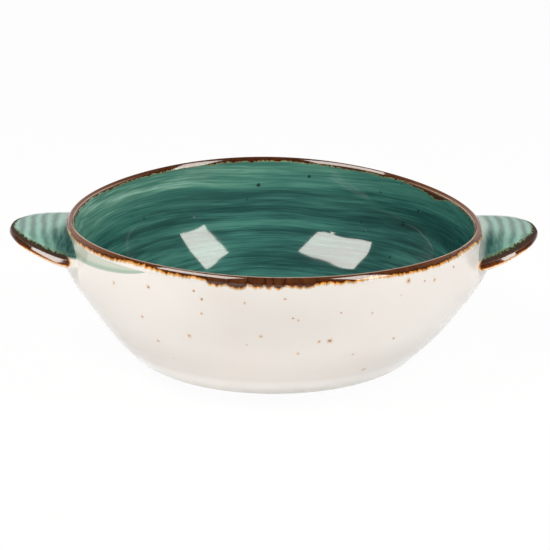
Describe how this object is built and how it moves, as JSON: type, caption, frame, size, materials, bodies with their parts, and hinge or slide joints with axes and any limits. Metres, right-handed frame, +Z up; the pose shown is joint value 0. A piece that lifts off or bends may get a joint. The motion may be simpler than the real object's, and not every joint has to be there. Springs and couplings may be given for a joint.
{
  "type": "lug soup bowl",
  "caption": "Round stoneware soup bowl with a rounded belly, low foot ring and arched thumb lugs under an uneven rim, teal glaze inside and iron-brown edges.",
  "frame": {"origin": "on the table plane that the foot ring rests on, under the middle of the bowl's box", "axes": "+Z up out of the bowl, +X from the left lug to the right lug, -Y to the front"},
  "size_m": [0.2124, 0.1656, 0.0593],
  "materials": {
    "white_glazed_stoneware": "gloss",
    "bare_stoneware": "matt",
    "teal_glaze": "gloss",
    "iron_brown_glaze": "gloss"
  },
  "bodies": {
    "root": {"bowl_body": "white_glazed_stoneware", "foot_ring": "bare_stoneware", "left_lug": "white_glazed_stoneware", "right_lug": "white_glazed_stoneware", "inner_glaze": "teal_glaze", "rim_glaze": "iron_brown_glaze", "left_lug_glaze": "teal_glaze", "right_lug_glaze": "teal_glaze", "left_lug_edge": "iron_brown_glaze", "right_lug_edge": "iron_brown_glaze"}
  },
  "joints": []
}
